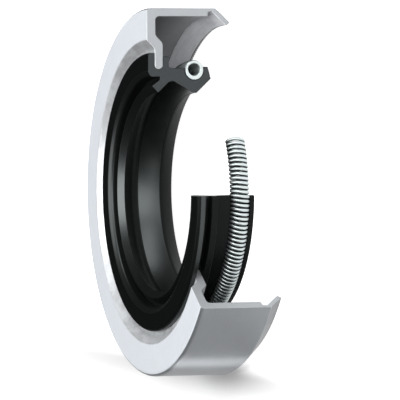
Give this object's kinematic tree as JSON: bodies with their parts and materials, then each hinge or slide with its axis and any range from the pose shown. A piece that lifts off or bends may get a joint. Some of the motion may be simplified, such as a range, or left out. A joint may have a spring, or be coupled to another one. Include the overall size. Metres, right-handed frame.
{
  "type": "radial shaft seal",
  "caption": "Cut-away radial shaft seal: pressed steel case with a stepped flange and bent back rim, bonded rubber with main and dust lips, and a coiled garter spring in the lip's groove.",
  "frame": {"origin": "on the ring's axis, in the plane that the bent back rim stands on", "axes": "+Z along the axis, out of the flange's flat front face; +Y towards the section at 12 o'clock; +X towards 3 o'clock, where the rubber ends"},
  "size_m": [0.0469, 0.052, 0.0125],
  "materials": {
    "steel_case": "fine brushed steel with a pale satin front face",
    "rubber": "moulded black rubber with a soft gloss",
    "spring_wire": "bright drawn spring steel wire"
  },
  "bodies": {
    "root": {"outer_case": "steel_case", "sealing_lip": "rubber", "garter_spring": "spring_wire"}
  },
  "joints": []
}
